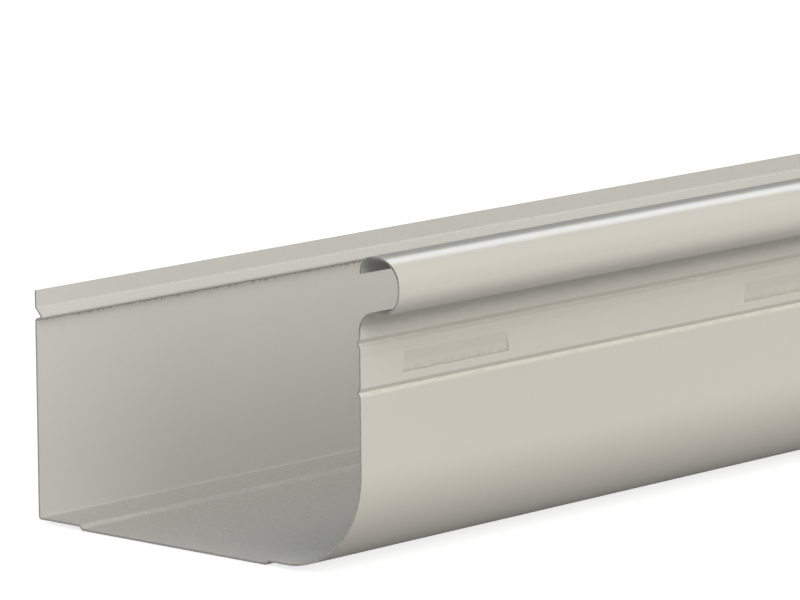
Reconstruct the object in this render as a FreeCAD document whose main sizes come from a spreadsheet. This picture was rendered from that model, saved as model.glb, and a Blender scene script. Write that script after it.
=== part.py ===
import FreeCAD, Part
import os

import Sketcher

# Slotted quad gutter, one length of roll-formed sheet steel, in millimetres. X runs along the
# gutter, -Y is the street side with the bead, +Y goes against the fascia and +Z is up. The origin
# is under the middle of the gutter, on the level that its base panel rests on.
doc = FreeCAD.newDocument("gutter_section")

# Driving sizes. The section's sizes are those of the sheet's outside line, corner to corner.
driving_sizes = [
    ("stock_length", 2400, "length as sold"),
    ("overall_width", 115, "back face to the front of the bead"),
    ("sheet_thickness", 0.48, "coated sheet"),
    ("lip_height", 3.87, "top lip of the back wall"),
    ("kink_depth", 1.86, "how far the kink stands into the trough"),
    ("kink_slope_height", 2.04, "lip to the nose of the kink"),
    ("kink_ledge_drop", 0.61, "nose of the kink back to the wall"),
    ("back_wall_height", 47.56, "kink to the base"),
    ("back_strip_width", 13.46, "narrow base strip by the back wall"),
    ("base_step_run", 0.95, "width of each step in the base"),
    ("base_drop", 0.84, "how far the middle panel lies below the strips"),
    ("front_strip_width", 28.89, "front step to the corner of the front wall"),
    ("front_corner_radius", 23.61, "rounded front corner, outside"),
    ("lower_wall_height", 41.13, "front corner to the lower pressed line"),
    ("lower_line_half_height", 0.91, "half the height of the lower pressed line"),
    ("slot_wall_height", 9.26, "wall between the two pressed lines"),
    ("upper_line_half_height", 0.95, "half the height of the upper pressed line"),
    ("line_depth", 0.71, "depth of both pressed lines"),
    ("upper_wall_height", 6.18, "upper pressed line to the shelf under the bead"),
    ("bead_reach", 11.88, "front wall to the front of the bead"),
    ("bead_height", 12.87, "shelf to the top of the bead"),
    ("bead_top_width", 11.89, "front of the bead to its tip"),
    ("tip_height", 4.16, "turned down tip of the bead"),
    ("shelf_bend_radius", 4.43, "front wall into the shelf"),
    ("bead_lower_radius", 5.57, "lower front of the bead"),
    ("bead_upper_radius", 6.23, "upper front of the bead"),
    ("bead_tip_radius", 3.75, "back of the bead"),
    ("kink_nose_radius", 0.11, "inside of the fold at the nose"),
    ("small_bend_radius", 0.75, "outside of a small bend"),
    ("tight_bend_radius", 0.20, "inside of a small bend"),
    ("slot_pitch", 120, "slot to slot"),
    ("slot_start", 13.7, "near end to the first slot"),
    ("slot_length", 36.2, "louvre slot along its open lower edge"),
    ("slot_height", 4.8, "louvre slot"),
    ("slot_foot_gap", 2.03, "lower pressed line to the slot's open edge"),
    ("slot_depth", 0.75, "how far the open edge is pressed in"),
    ("slot_end_slope", 0.33, "how far each end slopes in over that depth"),
    ("slot_top_inset", 0.82, "how much shorter each end is at the slot's top"),
]
sheet = doc.addObject("Spreadsheet::Sheet", "sizes")
for row, (name, value, note) in enumerate(driving_sizes, start=1):
    sheet.set(f"A{row}", note)
    sheet.set(f"B{row}", str(value))
    sheet.setAlias(f"B{row}", name)
doc.recompute()


def size(name):
    """One driving size, or 0 where there is none."""
    return float(sheet.get(name)) if name else 0.0


# The outside line as straight runs: name, way and size along Y, way and size along Z, and the
# bend at the run's end. The middle panel takes up what the overall width leaves.
runs = [
    ("lip", 0, None, -1, "lip_height", "small_bend_radius"),
    ("kink_slope", -1, "kink_depth", -1, "kink_slope_height", "kink_nose_radius"),
    ("kink_ledge", 1, "kink_depth", -1, "kink_ledge_drop", "small_bend_radius"),
    ("back_wall", 0, None, -1, "back_wall_height", "small_bend_radius"),
    ("back_strip", -1, "back_strip_width", 0, None, "tight_bend_radius"),
    ("back_step", -1, "base_step_run", -1, "base_drop", "small_bend_radius"),
    ("middle_panel", -1, "rest", 0, None, "small_bend_radius"),
    ("front_step", -1, "base_step_run", 1, "base_drop", "tight_bend_radius"),
    ("front_strip", -1, "front_strip_width", 0, None, "front_corner_radius"),
    ("lower_wall", 0, None, 1, "lower_wall_height", "small_bend_radius"),
    ("lower_line_in", 1, "line_depth", 1, "lower_line_half_height", "tight_bend_radius"),
    ("lower_line_out", -1, "line_depth", 1, "lower_line_half_height", "small_bend_radius"),
    ("slot_wall", 0, None, 1, "slot_wall_height", "small_bend_radius"),
    ("upper_line_in", 1, "line_depth", 1, "upper_line_half_height", "tight_bend_radius"),
    ("upper_line_out", -1, "line_depth", 1, "upper_line_half_height", "small_bend_radius"),
    ("upper_wall", 0, None, 1, "upper_wall_height", "shelf_bend_radius"),
    ("shelf", -1, "bead_reach", 0, None, "bead_lower_radius"),
    ("bead_front", 0, None, 1, "bead_height", "bead_upper_radius"),
    ("bead_top", 1, "bead_top_width", 0, None, "bead_tip_radius"),
    ("tip", 0, None, -1, "tip_height", None),
]
run_names = [run[0] for run in runs]


def corner_places():
    """The corners between the runs in the YZ plane, from the lip's edge to the tip."""
    back = size("overall_width") / 2
    panel = run_names.index("middle_panel")
    shelf = run_names.index("shelf")
    other_widths = sum(way * size(name) for _, way, name, *_ in runs[: shelf + 1] if name != "rest")
    panel_width = size("overall_width") + other_widths
    top = -sum(way * size(name) for _, _, _, way, name, _ in runs[:panel])
    corners = [FreeCAD.Vector(back, top, 0)]
    for _, y_way, y_size, z_way, z_size, _ in runs:
        y_step = panel_width if y_size == "rest" else size(y_size)
        corners.append(corners[-1] + FreeCAD.Vector(y_way * y_step, z_way * size(z_size), 0))
    return corners


def bend_arc(corner, before, after, radius):
    """The arc of one bend, with where it starts, where it ends and whether it turns left."""
    arriving = (corner - before).normalize()
    leaving = (after - corner).normalize()
    cut_back = radius * (arriving - leaving).Length / (arriving + leaving).Length
    start = corner - arriving * cut_back
    end = corner + leaving * cut_back
    towards_centre = (leaving - arriving).normalize()
    centre_distance = (cut_back**2 + radius**2) ** 0.5
    centre = corner + towards_centre * centre_distance
    middle = centre - towards_centre * radius
    turns_left = arriving.cross(leaving).z > 0
    return Part.Arc(start, middle, end), start, end, turns_left


def draw_outside_line():
    """The sheet's outside line as a sketch, every size of it tied to the spreadsheet."""
    sketch = doc.addObject("Sketcher::SketchObject", "outside_line")
    sketch.Placement = FreeCAD.Placement(
        FreeCAD.Vector(0, 0, 0), FreeCAD.Rotation(FreeCAD.Vector(1, 1, 1), 120)
    )
    corners = corner_places()
    last = len(runs) - 1
    starts = [corners[0]]
    ends = []
    arcs = []
    left_turns = []
    for i in range(last):
        arc, start, end, turns_left = bend_arc(
            corners[i + 1], corners[i], corners[i + 2], size(runs[i][5])
        )
        ends.append(start)
        starts.append(end)
        arcs.append(arc)
        left_turns.append(turns_left)
    ends.append(corners[-1])

    lines = [Part.LineSegment(start, end) for start, end in zip(starts, ends)]
    line_ids = list(sketch.addGeometry(lines))
    arc_ids = list(sketch.addGeometry(arcs))
    corner_points = [Part.Point(corner) for corner in corners[1:-1]]
    point_ids = list(sketch.addGeometry(corner_points, True))

    # point 1 of a line or arc is its start and point 2 its end; an arc always runs to the left
    constraints = []
    for i in range(last):
        arc_start, arc_end = (1, 2) if left_turns[i] else (2, 1)
        constraints.append(Sketcher.Constraint("Tangent", line_ids[i], 2, arc_ids[i], arc_start))
        constraints.append(
            Sketcher.Constraint("Tangent", line_ids[i + 1], 1, arc_ids[i], arc_end)
        )
        constraints.append(Sketcher.Constraint("PointOnObject", point_ids[i], 1, line_ids[i]))
        constraints.append(Sketcher.Constraint("PointOnObject", point_ids[i], 1, line_ids[i + 1]))
    for i, (_, y_way, _, z_way, _, _) in enumerate(runs):
        if y_way == 0:
            constraints.append(Sketcher.Constraint("Vertical", line_ids[i]))
        elif z_way == 0:
            constraints.append(Sketcher.Constraint("Horizontal", line_ids[i]))
    panel = line_ids[run_names.index("middle_panel")]
    constraints.append(Sketcher.Constraint("PointOnObject", panel, 1, -1))
    sketch.addConstraint(constraints)

    def tie(kind, name, expression, *where):
        index = sketch.addConstraint(Sketcher.Constraint(kind, *where))
        sketch.renameConstraint(index, name)
        sketch.setExpression(f"Constraints.{name}", expression)

    corner_ids = [(line_ids[0], 1)] + [(point, 1) for point in point_ids] + [(line_ids[last], 2)]
    for i, (name, y_way, y_size, z_way, z_size, bend) in enumerate(runs):
        low, high = corner_ids[i], corner_ids[i + 1]
        if y_size and y_size != "rest":
            pair = low + high if y_way > 0 else high + low
            tie("DistanceX", f"{name}_width", f"sizes.{y_size}", *pair, size(y_size))
        if z_size:
            pair = low + high if z_way > 0 else high + low
            tie("DistanceY", f"{name}_height", f"sizes.{z_size}", *pair, size(z_size))
        if bend:
            tie("Radius", f"{name}_bend", f"sizes.{bend}", arc_ids[i], size(bend))
    half_width = size("overall_width") / 2
    back_wall = line_ids[run_names.index("back_wall")]
    bead_front = line_ids[run_names.index("bead_front")]
    tie("DistanceX", "back_face", "sizes.overall_width / 2", -1, 1, back_wall, 1, half_width)
    tie("DistanceX", "front_face", "sizes.overall_width / 2", bead_front, 1, -1, 1, half_width)

    # measured only: how high the wall between the pressed lines starts
    slot_wall = run_names.index("slot_wall")
    foot_height = Sketcher.Constraint("DistanceY", -1, 1, *corner_ids[slot_wall], corners[slot_wall].y)
    index = sketch.addConstraint(foot_height)
    sketch.setDriving(index, False)
    sketch.renameConstraint(index, "slot_wall_foot")
    return sketch


def form_strip(outside_line):
    """The plain gutter: the sheet's thickness laid inside the line, and drawn out along X."""
    section = doc.addObject("Part::Offset2D", "sheet_section")
    section.Source = outside_line
    section.Mode = "Skin"
    section.Join = "Arc"
    section.Fill = True
    section.setExpression("Value", "sizes.sheet_thickness")

    strip = doc.addObject("Part::Extrusion", "formed_strip")
    strip.Base = section
    strip.DirMode = "Custom"
    strip.Dir = FreeCAD.Vector(1, 0, 0)
    strip.Solid = True
    strip.Symmetric = True
    strip.setExpression("LengthFwd", "sizes.stock_length")
    return strip


# how much each end of a slot slopes in for each millimetre of depth
end_slope = "sizes.slot_end_slope / sizes.slot_depth"


def slot_section(body, name, height, front, front_length, inner_length, reach):
    """A level trapezoid across the front wall, with its long edge in front."""
    sketch = body.newObject("Sketcher::SketchObject", name)
    level = next(part for part in body.Origin.OriginFeatures if part.Role == "XY_Plane")
    sketch.AttachmentSupport = (level, [""])
    sketch.MapMode = "FlatFace"
    middle = "-sizes.stock_length / 2 + sizes.slot_start + sizes.slot_length / 2"
    sketch.setExpression("AttachmentOffset.Base.x", middle)
    sketch.setExpression("AttachmentOffset.Base.y", front)
    sketch.setExpression("AttachmentOffset.Base.z", height)

    # drawn as a plain rectangle, then sized by the spreadsheet
    half = size("slot_length") / 2
    depth = size("slot_depth")
    places = ((-half, 0), (half, 0), (half, depth), (-half, depth))
    points = [FreeCAD.Vector(x, y, 0) for x, y in places]
    sides = [Part.LineSegment(a, b) for a, b in zip(points, points[1:] + points[:1])]
    front_edge, right_end, inner_edge, left_end = sketch.addGeometry(sides)
    sketch.addConstraint(
        [
            Sketcher.Constraint("Coincident", front_edge, 2, right_end, 1),
            Sketcher.Constraint("Coincident", right_end, 2, inner_edge, 1),
            Sketcher.Constraint("Coincident", inner_edge, 2, left_end, 1),
            Sketcher.Constraint("Coincident", left_end, 2, front_edge, 1),
            Sketcher.Constraint("Symmetric", front_edge, 1, front_edge, 2, -1, 1),
            Sketcher.Constraint("Symmetric", inner_edge, 1, inner_edge, 2, -2),
            Sketcher.Constraint("PointOnObject", front_edge, 2, -1),
        ]
    )
    for size_name, kind, ends, drawn, expression in (
        ("front_length", "DistanceX", (front_edge, 1, front_edge, 2), 2 * half, front_length),
        ("inner_length", "DistanceX", (inner_edge, 2, inner_edge, 1), 2 * half, inner_length),
        ("reach", "DistanceY", (-1, 1, inner_edge, 1), depth, reach),
    ):
        index = sketch.addConstraint(Sketcher.Constraint(kind, *ends, drawn))
        sketch.renameConstraint(index, size_name)
        sketch.setExpression(f"Constraints.{size_name}", expression)
    return sketch


def slot_block(body, feature, name, inward, spread):
    """A block that narrows to nothing at the slot's top. Its inner side lies inward of the
    slot's surface, and each end is spread outward, by the given sizes."""
    start_before = "sizes.sheet_thickness / 2"
    front = f"-sizes.overall_width / 2 + sizes.bead_reach + {inward} - {start_before}"
    foot = "outside_line.Constraints.slot_wall_foot + sizes.slot_foot_gap * 1 mm"
    inner_length = f"sizes.slot_length + 2 * {spread}"
    front_length = f"{inner_length} + 2 * {end_slope} * {start_before}"
    lower = slot_section(
        body,
        f"{name}_foot",
        foot,
        front,
        front_length,
        f"{inner_length} - 2 * sizes.slot_end_slope",
        f"{start_before} + sizes.slot_depth",
    )
    upper = slot_section(
        body,
        f"{name}_top",
        f"{foot} + sizes.slot_height * 1 mm",
        front,
        f"{front_length} - 2 * sizes.slot_top_inset",
        f"{inner_length} - 2 * sizes.slot_top_inset",
        start_before,
    )
    block = body.newObject(feature, name)
    block.Profile = lower
    block.Sections = [upper]
    block.Ruled = True
    return block


def press_slots(strip):
    """The louvres: a flap pushed into the trough, sheared open along its lower edge."""
    body = doc.addObject("PartDesign::Body", "gutter")
    body.Label = "gutter"
    body.BaseFeature = strip

    # the flap is one sheet thick, also square to its sloping ends, and is hollowed from the front
    end_spread = f"sizes.sheet_thickness * (sqrt(1 + ({end_slope}) ^ 2) - {end_slope})"
    flap = slot_block(
        body, "PartDesign::AdditiveLoft", "slot_flap", "sizes.sheet_thickness", end_spread
    )
    recess = slot_block(body, "PartDesign::SubtractiveLoft", "slot_recess", "0", "0")
    doc.recompute()

    row = body.newObject("PartDesign::LinearPattern", "slot_row")
    row.Originals = [flap, recess]
    x_axis = next(part for part in body.Origin.OriginFeatures if part.Role == "X_Axis")
    row.Direction = (x_axis, [""])
    row.Mode = "Spacing"
    row.setExpression("Offset", "sizes.slot_pitch")
    row.setExpression(
        "Occurrences",
        "floor((sizes.stock_length - sizes.slot_start - sizes.slot_length) / sizes.slot_pitch) + 1",
    )
    body.Tip = row
    return body


outside_line = draw_outside_line()
gutter = press_slots(form_strip(outside_line))
doc.recompute()

for part in doc.Objects:
    if "Invalid" in part.State or "Error" in part.State:
        raise RuntimeError(f"{part.Label} failed to build: {part.State}")
if gutter.Shape.isNull() or not gutter.Shape.isValid() or len(gutter.Shape.Solids) != 1:
    raise RuntimeError("the gutter isn't one valid solid")

os.makedirs("parts", exist_ok=True)
gutter.Shape.exportStep(f"parts/{gutter.Label}.step")
box = gutter.Shape.BoundBox
print("gutter", round(gutter.Shape.Volume), "mm3,", len(gutter.Shape.Faces), "faces")
print("box", box.XMin, box.XMax, box.YMin, box.YMax, box.ZMin, box.ZMax)
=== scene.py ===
import math

import bmesh
import bpy
import numpy as np
from mathutils import Matrix, Vector


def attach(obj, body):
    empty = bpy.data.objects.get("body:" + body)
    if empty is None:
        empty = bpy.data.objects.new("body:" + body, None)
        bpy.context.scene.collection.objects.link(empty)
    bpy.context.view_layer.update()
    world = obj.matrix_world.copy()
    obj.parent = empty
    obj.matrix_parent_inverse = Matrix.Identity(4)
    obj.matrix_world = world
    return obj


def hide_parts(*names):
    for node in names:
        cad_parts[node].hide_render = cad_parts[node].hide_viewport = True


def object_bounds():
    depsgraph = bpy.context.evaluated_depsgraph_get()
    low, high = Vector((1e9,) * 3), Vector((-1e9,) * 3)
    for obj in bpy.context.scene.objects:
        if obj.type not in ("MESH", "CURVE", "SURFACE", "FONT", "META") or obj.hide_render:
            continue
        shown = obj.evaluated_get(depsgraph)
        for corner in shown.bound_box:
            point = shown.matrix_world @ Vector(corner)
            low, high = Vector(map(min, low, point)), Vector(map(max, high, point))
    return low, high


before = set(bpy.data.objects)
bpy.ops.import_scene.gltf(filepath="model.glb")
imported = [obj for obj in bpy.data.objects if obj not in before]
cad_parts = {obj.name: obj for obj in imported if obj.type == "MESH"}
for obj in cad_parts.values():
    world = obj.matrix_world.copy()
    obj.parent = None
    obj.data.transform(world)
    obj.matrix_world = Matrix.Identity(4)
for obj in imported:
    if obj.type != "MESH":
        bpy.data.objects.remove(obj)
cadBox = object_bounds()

mm = 0.001
lowCorner, highCorner = cadBox
stockLength = highCorner.x - lowCorner.x
overallWidth = highCorner.y - lowCorner.y


def addObject(name, data):
    thing = bpy.data.objects.new(name, data)
    bpy.context.scene.collection.objects.link(thing)
    return thing


# Camera: the near end of the gutter from the street side, with a long lens.

cameraView = {
    "place": (-2.1966, -0.9715, 0.2949),
    "forward": (0.72664, 0.66631, -0.16743),
    "right": (0.67473, -0.73801, -0.00873),
    "lens": 280.86,
    "sensorWidth": 36.0,
    "nearest": 0.05,  # what is closer isn't drawn, in metres
    "farthest": 100.0,
}


def makeCamera(view):
    camera = addObject("camera", bpy.data.cameras.new("camera"))
    camera.data.lens = view["lens"]
    camera.data.sensor_width = view["sensorWidth"]
    camera.data.clip_start = view["nearest"]
    camera.data.clip_end = view["farthest"]
    back = -Vector(view["forward"]).normalized()
    right = Vector(view["right"])
    right = (right - back * right.dot(back)).normalized()
    up = back.cross(right)
    turned = Matrix((right, up, back)).transposed().to_4x4()
    camera.matrix_world = Matrix.Translation(view["place"]) @ turned
    bpy.context.scene.camera = camera
    print("camera set, lens", view["lens"])


# Gutter: one strip of sheet, given by its outside line from the lip round to the tip of the bead.
# Each run is its name, its way and size along Y, its way and size along Z, and the radius of the
# bend at its end, in mm. The run of size "rest" takes up the width that the others leave.

gutter = {
    "thickness": 0.48,
    "runs": [
        ("lip", 0, 0, -1, 4.04, 0.75),
        ("kinkSlope", -1, 1.86, -1, 2.04, 0.11),
        ("kinkLedge", 1, 1.86, -1, 0.61, 0.75),
        ("backWall", 0, 0, -1, 47.56, 0.75),
        ("backStrip", -1, 13.46, 0, 0, 0.20),
        ("backStep", -1, 0.95, -1, 0.84, 0.75),
        ("middlePanel", -1, "rest", 0, 0, 0.75),
        ("frontStep", -1, 0.95, 1, 0.84, 0.20),
        ("frontStrip", -1, 28.89, 0, 0, 23.61),
        ("lowerWall", 0, 0, 1, 41.13, 0.75),
        ("lowerLineIn", 1, 0.71, 1, 0.91, 0.20),
        ("lowerLineOut", -1, 0.71, 1, 0.91, 0.75),
        ("slotWall", 0, 0, 1, 9.26, 0.75),
        ("upperLineIn", 1, 0.71, 1, 0.95, 0.20),
        ("upperLineOut", -1, 0.71, 1, 0.95, 0.75),
        ("upperWall", 0, 0, 1, 6.18, 4.43),
        ("shelf", -1, 11.88, 0, 0, 5.57),
        ("beadFront", 0, 0, 1, 12.87, 6.23),
        ("beadTop", 1, 11.89, 0, 0, 3.75),
        ("tip", 0, 0, -1, 4.16, 0),
    ],
    "bendChord": 0.55,  # chord aimed at in a bend, mm
    "largestTurn": 24.0,  # most degrees between two chords
    "smallestTurn": 3.4,  # and about the least, so the chords of a wide bend are longer
    "weldDistance": 0.0001,  # points this close become one, mm
    "flatWeight": 100,  # how strongly the flats hold the shading beside a bend, at most 100
}

# Slots: louvres pressed into the trough and open along their lower edges, in mm.

slots = {
    "pitch": 120.0,
    "start": 13.7,  # near end of the gutter to the first slot
    "length": 36.2,
    "height": 4.8,
    "footGap": 2.03,  # lower pressed line to the open edge
    "depth": 0.75,
    "endSlope": 0.33,  # width of the slope at each end, along the open edge
    "endRounding": 0.16,  # and what is added to it all the way up
    "topInset": 0.82,  # how much further in each end lies at the top
    "foldLength": 0.42,  # how softly the flap leaves the wall at its top
    "rowShares": (0.0, 0.35, 0.7),  # rows of points below the fold, as shares of the height
    "endShares": (0.0, 0.15, 0.38, 0.62, 0.85, 1.0),  # points across an end's slope
}


def sectionCorners(sizes):
    # the outside line's corners in mm, in the YZ plane of the frame, with the middle panel at Z 0
    half = overallWidth / mm / 2
    runs = sizes["runs"]
    names = [run[0] for run in runs]
    known = sum(run[1] * run[2] for run in runs[: names.index("shelf") + 1] if run[2] != "rest")
    rest = 2 * half + known
    drop = sum(run[3] * run[4] for run in runs[: names.index("middlePanel")])
    corners = [np.array((half, -drop))]
    for _, yWay, ySize, zWay, zSize, _ in runs:
        step = (yWay * (rest if ySize == "rest" else ySize), zWay * zSize)
        corners.append(corners[-1] + np.array(step))
    return corners, names


def bendPoints(corner, before, after, radius, sizes):
    # the points of one bend, each with the way to the sheet's inside
    arriving = (corner - before) / np.linalg.norm(corner - before)
    leaving = (after - corner) / np.linalg.norm(after - corner)
    cross = arriving[0] * leaving[1] - arriving[1] * leaving[0]
    turn = math.atan2(cross, float(arriving @ leaving))
    cutBack = radius * abs(math.tan(turn / 2))
    side = np.array((-arriving[1], arriving[0])) * math.copysign(1, turn)
    start = corner - arriving * cutBack
    centre = start + side * radius
    bendSize = max(radius, sizes["thickness"])
    step = math.degrees(sizes["bendChord"] / bendSize)
    step = min(max(step, sizes["smallestTurn"]), sizes["largestTurn"])
    count = max(2, math.ceil(abs(math.degrees(turn)) / step))
    points = []
    for k in range(count + 1):
        angle = turn * k / count
        spin = np.array(((math.cos(angle), -math.sin(angle)), (math.sin(angle), math.cos(angle))))
        heading = spin @ arriving
        place = centre + spin @ (start - centre)
        points.append((place, np.array((heading[1], -heading[0]))))
    return points


def flapRows(corner, sizes):
    # rows of the slot wall: the wall's side of the slit, then the flap from its open edge up
    y, z = corner
    foot = z + sizes["footGap"]
    height = sizes["height"]
    fold = sizes["foldLength"] / height
    inward = np.array((1.0, 0.0))
    rows = [(np.array((y, foot)), inward, "wall")]
    for share in (*sizes["rowShares"], 1 - fold, 1 - fold / 2, 1.0, 1 + fold / 2):
        rows.append((np.array((y, foot + share * height)), inward, share))
    return rows


def sectionLine(sizes, slotSizes):
    # every row of the sheet: its place, the way to the inside, and its share of the flap's height,
    # which is None away from the slots
    corners, names = sectionCorners(sizes)
    runs = sizes["runs"]
    rows = [(corners[0], np.array((-1.0, 0.0)), None)]
    for i, run in enumerate(runs):
        if run[0] == "slotWall":
            rows.extend(flapRows(corners[i], slotSizes))
        if i < len(runs) - 1:
            bend = bendPoints(corners[i + 1], corners[i], corners[i + 2], run[5], sizes)
            rows.extend((place, normal, None) for place, normal in bend)
        else:
            rows.append((corners[-1], rows[-1][1], None))
    print("section rows", len(rows), "from", names[0], "to", names[-1])
    return rows


def slotColumns(sizes):
    # stations along X: the place at the open edge, the way into the slot, which is 0 at the ends of
    # the gutter, and the share of the slope at the slot's end
    lowX = lowCorner.x / mm
    count = int((stockLength / mm - sizes["start"] - sizes["length"]) // sizes["pitch"]) + 1
    columns = [(lowX, 0, 0.0)]
    for number in range(count):
        start = lowX + sizes["start"] + number * sizes["pitch"]
        end = start + sizes["length"]
        columns.extend((start, 1, share) for share in sizes["endShares"])
        columns.extend((end, -1, share) for share in reversed(sizes["endShares"]))
    columns.append((highCorner.x / mm, 0, 0.0))
    print("slots", count)
    return columns


def flapDepth(share, sizes):
    # how far the flap stands in at this share of its height, eased out at the top fold
    fold = sizes["foldLength"] / sizes["height"]
    below = 1 + fold / 2 - share
    if below <= 0:
        return 0.0
    if below < fold:
        return sizes["depth"] * below * below / (2 * fold)
    return sizes["depth"] * (below - fold / 2)


def slotShift(way, share, flapShare, sizes):
    # how far a point of the sheet moves along X and into the trough for the slots
    if not way or flapShare is None:
        return 0.0, 0.0
    up = 0.0
    full = 0.0
    if flapShare != "wall":
        up = min(flapShare, 1.0)
        full = flapDepth(flapShare, sizes)
    slope = sizes["endSlope"] * flapDepth(up, sizes) / sizes["depth"]
    width = slope + sizes["endRounding"]
    along = way * (sizes["topInset"] * up + width * share)
    inwards = full * share * share * (3 - 2 * share)
    return along, inwards


def sheetPoints(rows, columns, thickness, slotSizes):
    # the points of the outside, station by station, and then those of the inside, in metres
    outside = []
    inside = []
    for x, way, share in columns:
        for place, normal, flapShare in rows:
            along, inwards = slotShift(way, share, flapShare, slotSizes)
            y = place[0] + inwards
            outside.append((x + along, y, place[1]))
            inside.append((x + along, y + normal[0] * thickness, place[1] + normal[1] * thickness))
    return np.array(outside + inside) * mm


def sheetFaces(rows, columns):
    # the faces of the outside, of the inside and of the cut edges, with the slits left open
    rowCount = len(rows)
    columnCount = len(columns)
    insideStart = columnCount * rowCount
    wallRow = next(r for r, row in enumerate(rows) if row[2] == "wall")
    sheetRows = [r for r in range(rowCount - 1) if r != wallRow]

    def outer(c, r):
        return c * rowCount + r

    def inner(c, r):
        return insideStart + c * rowCount + r

    def across(c, r, turned):
        # the sheet's thickness along one row, from one station to the next
        face = (outer(c, r), outer(c + 1, r), inner(c + 1, r), inner(c, r))
        return face[::-1] if turned else face

    outerFaces = []
    innerFaces = []
    cutFaces = []
    for c in range(columnCount - 1):
        for r in sheetRows:
            outerFaces.append((outer(c, r), outer(c, r + 1), outer(c + 1, r + 1), outer(c + 1, r)))
            innerFaces.append((inner(c, r), inner(c + 1, r), inner(c + 1, r + 1), inner(c, r + 1)))
        cutFaces.append(across(c, 0, False))
        cutFaces.append(across(c, rowCount - 1, True))
        if columns[c][1] > 0 or columns[c + 1][1] < 0:  # inside a slot
            cutFaces.append(across(c, wallRow, True))
            cutFaces.append(across(c, wallRow + 1, False))
    for c, turned in ((0, False), (columnCount - 1, True)):
        for r in sheetRows:
            face = (outer(c, r), inner(c, r), inner(c, r + 1), outer(c, r + 1))
            cutFaces.append(face[::-1] if turned else face)
    return outerFaces, innerFaces, cutFaces


def makeGutter(sizes, slotSizes):
    rows = sectionLine(sizes, slotSizes)
    columns = slotColumns(slotSizes)
    points = sheetPoints(rows, columns, sizes["thickness"], slotSizes)
    groups = sheetFaces(rows, columns)
    cutKind = len(groups) - 1

    mesh = bpy.data.meshes.new("gutterSheet")
    mesh.from_pydata(points.tolist(), [], sum(groups, []))
    kinds = [kind for kind, group in enumerate(groups) for _ in group]
    mesh.polygons.foreach_set("material_index", kinds)
    work = bmesh.new()
    work.from_mesh(mesh)
    # the weld closes the wall between the slots, where both sides of the slit lie in one place
    bmesh.ops.remove_doubles(work, verts=work.verts, dist=sizes["weldDistance"] * mm)
    bmesh.ops.recalc_face_normals(work, faces=work.faces)
    for face in work.faces:
        face.smooth = True
    for edge in work.edges:
        edge.smooth = all(face.material_index < cutKind for face in edge.link_faces)
    work.to_mesh(mesh)
    work.free()

    piece = addObject("gutterSheet", mesh)
    weighted = piece.modifiers.new("flatsStayFlat", "WEIGHTED_NORMAL")
    weighted.keep_sharp = True
    weighted.weight = sizes["flatWeight"]
    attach(piece, "root")
    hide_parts("gutter")
    print("gutter sheet with", len(mesh.polygons), "faces")
    return piece


# Finishes: the satin coil coating, a shade greyer on the inside, and the sheared edges. Scales are
# in waves per metre. The depths of peel and rolls are in metres, and the others are shares of tone.

outerCoating = {
    "colour": (0.570, 0.541, 0.488),
    "roughness": 0.25,
    "roughnessChange": 0.05,
    "specular": 0.5,
    "cloudScale": 14.0,  # large soft tone changes
    "cloudDetail": 4.0,
    "cloudDepth": 0.012,
    "grainScale": 2600.0,  # fine pigment grain
    "grainDetail": 1.0,
    "grainDepth": 0.008,
    "peelScale": 700.0,  # orange peel of the coating
    "peelDetail": 2.0,
    "peelDepth": 0.000003,
    "rollScale": 900.0,  # faint roll marks along the gutter
    "rollDetail": 1.0,
    "rollStretch": (0.01, 1.0, 1.0),
    "rollDepth": 0.0000012,
}

innerCoating = dict(outerCoating, colour=(0.575, 0.559, 0.518), grainDepth=0.020, cloudDepth=0.016)

cutEdge = {
    "colour": (0.575, 0.54, 0.485),
    "roughness": 0.45,
    "metal": 0.15,
    "streakScale": 1600.0,
    "streakDetail": 2.0,
    "streakDepth": 0.15,
}

noiseMiddle = 0.5  # a noise lies round this level
noiseSwing = 0.25  # and mostly stays this close to it

# Marks in bands along the gutter: painted shade in its creases and hollows, under the bead and on
# the sheared edges, a dim painted reflection on the bead's top, painted highlights along bends and
# ledges, and real dust on the trough floor. The limits of a band, "z" and "y", are pairs of a line
# of the section and the way from it in mm. The band is whole between them and fades over "reach" mm
# above and below. "patch" is the size of its blotches along X, Y and Z in mm, "cover" how much of it
# is marked, "ragged" how broken its outline is, "amount" how strong the mark gets, and "colour" its
# colour where that isn't the usual one.

# Dark colour of the painted shade marks and of the trough floor's dust, then pale colour of the painted
# highlights and painted light.
dustAndShadeColour = (0.20, 0.185, 0.155)
paintedLightColour = (0.80, 0.78, 0.72)  # of marks whose names start with "rubbed"

flapAcross = (("wall", 0.03), ("flap", 0.1))
wallAcross = (("wall", -0.1), ("pressedLine", 0.1))
shelfAcross = (("beadFront", 5.6), ("wall", 0.1))
beadAcross = (("beadFront", -0.1), ("wall", 0.4))
kinkAcross = (("back", -0.62), ("back", -0.2))

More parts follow.
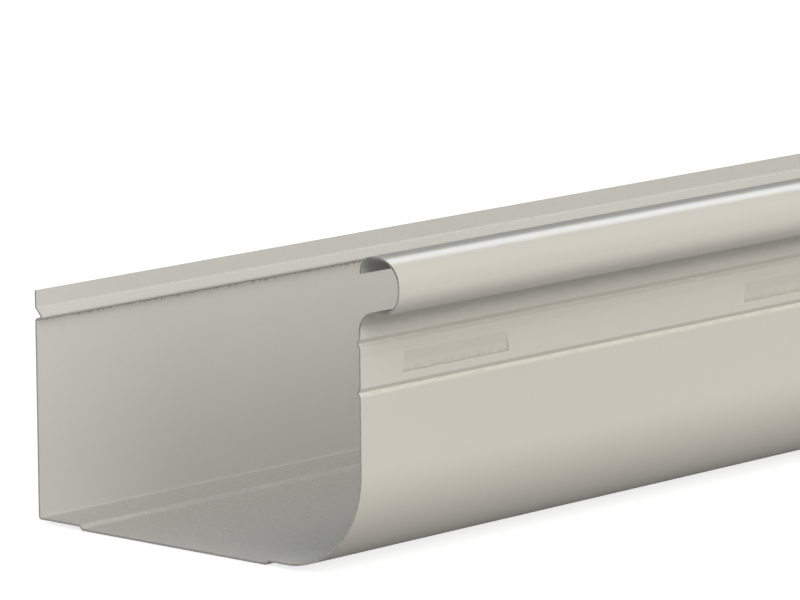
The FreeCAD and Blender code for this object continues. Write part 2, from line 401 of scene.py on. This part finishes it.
outerMarks = {
    # painted shade: dark blotches and a broken dark line along each slot's open edge
    "slotFoot": {"z": (("slotFoot", 0.0), ("slotFoot", 0.1)), "y": flapAcross,
                 "patch": (1.1, 1.1, 3.0), "reach": 1.6, "cover": 0.66, "ragged": 2.6, "amount": 0.13},
    "slotLine": {"z": (("slotFoot", 0.0), ("slotFoot", 0.1)), "y": flapAcross,
                 "patch": (2.0, 2.0, 2.0), "reach": 0.35, "cover": 0.8, "ragged": 2.0, "amount": 0.13},
    # painted shade: the top of each flap, under its fold, a little darker
    "slotFold": {"z": (("slotFold", -0.5), ("slotFold", -0.1)), "y": flapAcross,
                 "patch": (9.0, 9.0, 9.0), "reach": 4.0, "cover": 1.0, "ragged": 0.3, "amount": 0.05},
    # painted shade on and under the upper pressed line, in the shadow of the bead
    "upperLine": {"z": (("upperLine", -0.75), ("upperLine", 0.0)), "y": wallAcross,
                  "patch": (4.0, 4.0, 0.45), "reach": 0.3, "cover": 0.8, "ragged": 2.3, "amount": 0.14},
    # painted shade: the wall from the upper pressed line up to the shelf slightly darker, under the bead
    "upperWall": {"z": (("upperLine", -1.5), ("shelf", 0.0)), "y": wallAcross,
                  "patch": (30.0, 30.0, 30.0), "reach": 3.0, "cover": 1.0, "ragged": 0.4, "amount": 0.04},
    # painted shade in a ragged band under the bead's shelf
    "belowBead": {"z": (("shelf", -2.2), ("shelf", 0.0)), "y": shelfAcross,
                  "patch": (5.5, 5.5, 1.6), "reach": 2.2, "cover": 1.15, "ragged": 2.0, "amount": 0.14},
    # painted shade in thin vertical streaks under the shelf
    "streaks": {"z": (("shelf", -3.6), ("shelf", 0.0)), "y": shelfAcross,
                "patch": (0.5, 0.5, 9.0), "reach": 2.6, "cover": 0.75, "ragged": 2.0, "amount": 0.07},
    # painted highlight: pale dapples on the lit lower flank of the lower pressed line
    "rubbedLine": {"z": (("lowerLine", -0.7), ("lowerLine", -0.2)), "y": wallAcross,
                   "patch": (2.6, 2.6, 0.5), "reach": 0.2, "cover": 0.6, "ragged": 1.8, "amount": 0.22},
    # painted highlight: a pale dotted line on the bend at the foot of the bead's front
    "rubbedBead": {"z": (("shelf", 0.15), ("shelf", 0.55)), "y": (("beadFront", 0.0), ("beadFront", 4.3)),
                   "patch": (0.35, 0.35, 0.35), "reach": 0.3, "cover": 0.6, "ragged": 2.4, "amount": 0.45},
    # painted dim reflection: the bead's top behind the highlight made darker and greener
    "beadTop": {"z": (("crest", -0.08), ("crest", 0.1)), "y": beadAcross,
                "patch": (9.0, 9.0, 9.0), "reach": 0.16, "cover": 1.1, "ragged": 0.3, "amount": 0.30,
                "colour": (0.34, 0.395, 0.39)},
}

innerMarks = {
    # painted light: pale patches that break up the shade under the kink's ledge
    "rubbedKink": {"z": (("kinkLedge", -0.6), ("kinkNose", 0.0)), "y": kinkAcross,
                   "patch": (2.5, 2.5, 2.5), "reach": 0.5, "cover": 1.0, "ragged": 1.0, "amount": 0.60},
    # painted shade: a ragged dark line under the kink's ledge
    "kink": {"z": (("kinkLedge", -0.35), ("kinkNose", 0.0)), "y": kinkAcross,
             "patch": (1.3, 1.3, 1.6), "reach": 0.6, "cover": 0.42, "ragged": 4.2, "amount": 0.42},
    # painted shade inside the bead's hollow, in a neutral dark grey
    "beadHollow": {"z": (("shelf", 3.6), ("shelf", 13.0)), "y": beadAcross,
                   "patch": (8.0, 8.0, 8.0), "reach": 0.6, "cover": 1.1, "ragged": 0.5, "amount": 0.43,
                   "colour": (0.18, 0.188, 0.19)},
    # painted shade at the foot of the bead's hollow
    "hollowFoot": {"z": (("shelf", 0.4), ("shelf", 2.4)), "y": beadAcross,
                   "patch": (8.0, 8.0, 8.0), "reach": 0.6, "cover": 1.1, "ragged": 0.5, "amount": 0.56},
    # painted highlight: a pale dotted line along the bend at the foot of the lip
    "rubbedLip": {"z": (("lipFoot", -0.15), ("lipFoot", 0.1)), "y": (("back", -1.2), ("back", 0.0)),
                  "patch": (1.2, 1.2, 1.2), "reach": 0.12, "cover": 0.6, "ragged": 2.0, "amount": 0.18},
    "floorDust": {"z": (("middlePanel", -1.0), ("middlePanel", 1.4)),
                  "y": (("beadFront", 0.0), ("back", -1.3)),
                  "patch": (0.30, 0.30, 0.30), "reach": 2.5, "cover": 0.55, "ragged": 2.0, "amount": 0.20},
}

cutMarks = {
    # painted shade on the sheared edge over the bead
    "beadEdge": {"z": (("crest", -3.6), ("crest", 0.0)), "y": beadAcross,
                 "patch": (9.0, 9.0, 9.0), "reach": 1.2, "cover": 1.1, "ragged": 0.3, "amount": 0.45},
    # painted shade on the sheared edge along the shelf
    "shelfEdge": {"z": (("shelf", -4.0), ("shelf", 0.3)), "y": (("beadFront", -0.1), ("wall", 0.6)),
                  "patch": (9.0, 9.0, 9.0), "reach": 1.5, "cover": 1.1, "ragged": 0.3, "amount": 0.35},
}

markShape = {
    "detail": 2.0,  # of the noise that the blotches are cut from
    "start": 0.35,  # levels of cover and noise between which a blotch comes up
    "full": 0.65,
    "fade": 0.1,  # share of a band under which its blotches are held back
    "across": 0.02,  # how softly a band ends at its Y limits, mm
}


def newMaterial(name):
    material = bpy.data.materials.new(name)
    material.use_nodes = True
    nodes = material.node_tree.nodes
    links = material.node_tree.links
    nodes.clear()
    output = nodes.new("ShaderNodeOutputMaterial")
    shader = nodes.new("ShaderNodeBsdfPrincipled")
    links.new(shader.outputs["BSDF"], output.inputs["Surface"])
    return material, nodes, links, shader


def addNoise(nodes, links, place, scale, detail, stretch=None):
    noise = nodes.new("ShaderNodeTexNoise")
    noise.inputs["Scale"].default_value = scale
    noise.inputs["Detail"].default_value = detail
    if stretch:
        mapping = nodes.new("ShaderNodeMapping")
        mapping.inputs["Scale"].default_value = stretch
        links.new(place, mapping.inputs["Vector"])
        place = mapping.outputs["Vector"]
    links.new(place, noise.inputs["Vector"])
    return noise.outputs["Fac"]


def addRamp(nodes, links, value, start, end, low=0.0, high=1.0):
    ramp = nodes.new("ShaderNodeMapRange")
    ramp.interpolation_type = "SMOOTHSTEP"
    for name, number in (("From Min", start), ("From Max", end), ("To Min", low), ("To Max", high)):
        ramp.inputs[name].default_value = number
    links.new(value, ramp.inputs["Value"])
    return ramp.outputs["Result"]


def addMath(nodes, links, operation, first, second):
    step = nodes.new("ShaderNodeMath")
    step.operation = operation
    for socket, value in zip(step.inputs, (first, second)):
        if isinstance(value, (int, float)):
            socket.default_value = value
        else:
            links.new(value, socket)
    return step.outputs["Value"]


def tint(nodes, links, colour, noise, depth):
    # the colour made lighter and darker by a noise
    swing = addMath(nodes, links, "MULTIPLY", noise, depth / noiseSwing)
    factor = addMath(nodes, links, "ADD", swing, 1 - depth * noiseMiddle / noiseSwing)
    scaled = nodes.new("ShaderNodeVectorMath")
    scaled.operation = "SCALE"
    if isinstance(colour, tuple):
        scaled.inputs[0].default_value = colour
    else:
        links.new(colour, scaled.inputs[0])
    links.new(factor, scaled.inputs["Scale"])
    return scaled.outputs["Vector"]


def sectionLevels(sizes, slotSizes):
    # the lines of the section that marks are placed by, in mm: heights, then places across
    corners, names = sectionCorners(sizes)
    after = dict(zip(names, corners[1:]))
    wall = after["lowerWall"][0]
    slotFoot = after["lowerLineOut"][1] + slotSizes["footGap"]
    return {
        "middlePanel": 0.0,
        "slotFoot": slotFoot,
        "slotFold": slotFoot + slotSizes["height"],
        "lowerLine": after["lowerLineIn"][1],
        "upperLine": after["upperLineIn"][1],
        "shelf": after["upperWall"][1],
        "crest": after["beadFront"][1],
        "kinkLedge": after["kinkLedge"][1],
        "kinkNose": after["kinkSlope"][1],
        "lipFoot": after["lip"][1],
        "wall": wall,
        "flap": wall + slotSizes["depth"],
        "pressedLine": after["upperLineIn"][0],
        "beadFront": after["shelf"][0],
        "back": after["kinkLedge"][0],
    }


def addBand(nodes, links, axes, mark, levels):
    # how much of a mark's band lies here, from 0 to 1
    low, high = (levels[line] + offset for line, offset in mark["z"])
    reach = mark["reach"]
    rising = addRamp(nodes, links, axes["Z"], (low - reach) * mm, low * mm)
    falling = addRamp(nodes, links, axes["Z"], high * mm, (high + reach) * mm, 1.0, 0.0)
    band = addMath(nodes, links, "MULTIPLY", rising, falling)
    soft = markShape["across"]
    for (line, offset), side in zip(mark["y"], (1.0, 0.0)):
        start = (levels[line] + offset - soft) * mm
        end = (levels[line] + offset + soft) * mm
        within = addRamp(nodes, links, axes["Y"], start, end, 1 - side, side)
        band = addMath(nodes, links, "MULTIPLY", band, within)
    return band


def addMark(nodes, links, place, band, colour, mark, markColour):
    # blotches in one band, mixed over the colour so far
    stretch = tuple(1 / (size * mm) for size in mark["patch"])
    noise = addNoise(nodes, links, place, 1.0, markShape["detail"], stretch)
    blotch = addMath(nodes, links, "SUBTRACT", noise, noiseMiddle)
    covered = addMath(nodes, links, "MULTIPLY", band, mark["cover"])
    broken = addMath(nodes, links, "MULTIPLY", blotch, mark["ragged"])
    level = addMath(nodes, links, "ADD", covered, broken)
    shown = addRamp(nodes, links, level, markShape["start"], markShape["full"], 0.0, mark["amount"])
    inside = addRamp(nodes, links, band, 0.0, markShape["fade"])
    mix = nodes.new("ShaderNodeMix")
    mix.data_type = "RGBA"
    links.new(addMath(nodes, links, "MULTIPLY", shown, inside), mix.inputs["Factor"])
    links.new(colour, mix.inputs["A"])
    mix.inputs["B"].default_value = (*markColour, 1.0)
    return mix.outputs["Result"]


def addMarks(nodes, links, place, colour, marks, levels):
    axes = nodes.new("ShaderNodeSeparateXYZ")
    links.new(place, axes.inputs["Vector"])
    for name, mark in marks.items():
        # the painted light marks take the pale colour, the painted shade marks and the floor dust the dark
        # one
        usual = paintedLightColour if name.startswith("rubbed") else dustAndShadeColour
        band = addBand(nodes, links, axes.outputs, mark, levels)
        colour = addMark(nodes, links, place, band, colour, mark, mark.get("colour", usual))
    return colour


def makeCoating(name, look, marks, levels):
    material, nodes, links, shader = newMaterial(name)
    place = nodes.new("ShaderNodeTexCoord").outputs["Object"]
    shader.inputs["Specular IOR Level"].default_value = look["specular"]

    cloud = addNoise(nodes, links, place, look["cloudScale"], look["cloudDetail"])
    grain = addNoise(nodes, links, place, look["grainScale"], look["grainDetail"])
    colour = tint(nodes, links, look["colour"], cloud, look["cloudDepth"])
    colour = tint(nodes, links, colour, grain, look["grainDepth"])
    colour = addMarks(nodes, links, place, colour, marks, levels)
    links.new(colour, shader.inputs["Base Color"])

    change = look["roughnessChange"]
    swing = addMath(nodes, links, "MULTIPLY", cloud, change)
    gloss = addMath(nodes, links, "ADD", swing, look["roughness"] - change * noiseMiddle)
    links.new(gloss, shader.inputs["Roughness"])

    peel = addNoise(nodes, links, place, look["peelScale"], look["peelDetail"])
    rolls = addNoise(nodes, links, place, look["rollScale"], look["rollDetail"], look["rollStretch"])
    normal = None
    for height, depth in ((peel, look["peelDepth"]), (rolls, look["rollDepth"])):
        bump = nodes.new("ShaderNodeBump")
        bump.inputs["Distance"].default_value = depth
        links.new(height, bump.inputs["Height"])
        if normal:
            links.new(normal, bump.inputs["Normal"])
        normal = bump.outputs["Normal"]
    links.new(normal, shader.inputs["Normal"])
    print(name, "with", len(marks), "marks")
    return material


def makeCutEdge(name, look, marks, levels):
    material, nodes, links, shader = newMaterial(name)
    place = nodes.new("ShaderNodeTexCoord").outputs["Object"]
    streak = addNoise(nodes, links, place, look["streakScale"], look["streakDetail"])
    colour = tint(nodes, links, look["colour"], streak, look["streakDepth"])
    colour = addMarks(nodes, links, place, colour, marks, levels)
    links.new(colour, shader.inputs["Base Color"])
    shader.inputs["Roughness"].default_value = look["roughness"]
    shader.inputs["Metallic"].default_value = look["metal"]
    print(name, "with", len(marks), "marks")
    return material


# Studio: a pale floor and a white surround.

studio = {
    "floorSize": 60.0,
    "floorGap": 0.0002,  # metres under the gutter
    "floorColour": (0.37, 0.37, 0.37),
    "floorGlow": 0.80,
    "surroundColour": (1.0, 1.0, 1.0),
    "surroundGlow": 1.0,
    "ambient": 0.0,  # what the surround adds to the light on the gutter
    "glossShare": 0.08,  # how much of the white floor and surround the satin coat mirrors
}

# Lamps: large soft sources, given by where they stand as seen from the gutter. "heading" is the way
# along X and Y, and "height" above the floor and "spread" are in degrees.

lamps = {
    "streetLow": {"heading": (0.0, -1.0), "height": 15, "spread": 50,
                  "power": 1.88, "colour": (1.0, 1.0, 0.957)},
    "streetHigh": {"heading": (0.0, -1.0), "height": 47, "spread": 50,
                   "power": 1.01, "colour": (1.0, 0.92, 0.78)},
    "nearEnd": {"heading": (-0.7, -0.7), "height": 38, "spread": 50,
                "power": 1.34, "colour": (0.837, 0.892, 1.0)},
    "fasciaSide": {"heading": (0.0, 1.0), "height": 45, "spread": 50,
                   "power": 0.26, "colour": (0.7, 0.78, 1.0)},
    "fasciaLow": {"heading": (0.0, 1.0), "height": 9, "spread": 24,
                  "power": 2.7, "colour": (1.0, 1.0, 1.0)},
    "beadGlint": {"heading": (0.9441, 0.3298), "height": 39.7, "spread": 25,
                  "power": 0.52, "colour": (0.80, 0.90, 1.0)},
}


def whiteRays(nodes, links, look):
    # 1 for rays from the camera or through glass, and a share of it for rays off gloss
    path = nodes.new("ShaderNodeLightPath")
    gloss = addMath(nodes, links, "MULTIPLY", path.outputs["Is Glossy Ray"], look["glossShare"])
    through = addMath(nodes, links, "MAXIMUM", path.outputs["Is Transmission Ray"], gloss)
    return addMath(nodes, links, "MAXIMUM", path.outputs["Is Camera Ray"], through)


def makeFloor(look):
    mesh = bpy.data.meshes.new("floor")
    reach = look["floorSize"] / 2
    corners = [(-reach, -reach, 0), (reach, -reach, 0), (reach, reach, 0), (-reach, reach, 0)]
    mesh.from_pydata(corners, [], [(0, 1, 2, 3)])
    floor = addObject("floor", mesh)
    floor.location.z = lowCorner.z - look["floorGap"]
    material = bpy.data.materials.new("paleFloor")
    material.use_nodes = True
    nodes = material.node_tree.nodes
    links = material.node_tree.links
    nodes.clear()
    output = nodes.new("ShaderNodeOutputMaterial")
    diffuse = nodes.new("ShaderNodeBsdfDiffuse")
    diffuse.inputs["Color"].default_value = (*look["floorColour"], 1.0)
    glow = nodes.new("ShaderNodeEmission")
    glow.inputs["Strength"].default_value = look["floorGlow"]
    noGlow = nodes.new("ShaderNodeEmission")
    noGlow.inputs["Strength"].default_value = 0.0
    shown = nodes.new("ShaderNodeMixShader")
    links.new(whiteRays(nodes, links, look), shown.inputs[0])
    links.new(noGlow.outputs[0], shown.inputs[1])
    links.new(glow.outputs[0], shown.inputs[2])
    both = nodes.new("ShaderNodeAddShader")
    links.new(diffuse.outputs[0], both.inputs[0])
    links.new(shown.outputs[0], both.inputs[1])
    links.new(both.outputs[0], output.inputs["Surface"])
    mesh.materials.append(material)
    print("floor laid")


def makeSurround(look):
    world = bpy.data.worlds.new("whiteSurround")
    bpy.context.scene.world = world
    world.use_nodes = True
    nodes = world.node_tree.nodes
    links = world.node_tree.links
    nodes.clear()
    output = nodes.new("ShaderNodeOutputWorld")
    mix = nodes.new("ShaderNodeMixShader")
    links.new(whiteRays(nodes, links, look), mix.inputs[0])
    for socket, strength in ((mix.inputs[1], look["ambient"]), (mix.inputs[2], look["surroundGlow"])):
        sky = nodes.new("ShaderNodeBackground")
        sky.inputs["Strength"].default_value = strength
        sky.inputs["Color"].default_value = (*look["surroundColour"], 1.0)
        links.new(sky.outputs[0], socket)
    links.new(mix.outputs[0], output.inputs["Surface"])
    print("surround white")


def makeLamps(lampSizes):
    for name, lamp in lampSizes.items():
        light = bpy.data.lights.new(name, "SUN")
        light.energy = lamp["power"]
        light.angle = math.radians(lamp["spread"])
        light.color = lamp["colour"]
        stand = addObject(name, light)
        height = math.radians(lamp["height"])
        flat = Vector((*lamp["heading"], 0.0)).normalized() * math.cos(height)
        towards = Vector((flat.x, flat.y, math.sin(height)))
        stand.rotation_mode = "QUATERNION"
        stand.rotation_quaternion = towards.to_track_quat("Z", "Y")
    print("lamps", len(lampSizes))


makeCamera(cameraView)
gutterSheet = makeGutter(gutter, slots)
levels = sectionLevels(gutter, slots)
gutterSheet.data.materials.append(makeCoating("outerCoating", outerCoating, outerMarks, levels))
gutterSheet.data.materials.append(makeCoating("innerCoating", innerCoating, innerMarks, levels))
gutterSheet.data.materials.append(makeCutEdge("shearedEdge", cutEdge, cutMarks, levels))
makeFloor(studio)
makeSurround(studio)
makeLamps(lamps)
bpy.context.scene.view_settings.view_transform = "Standard"
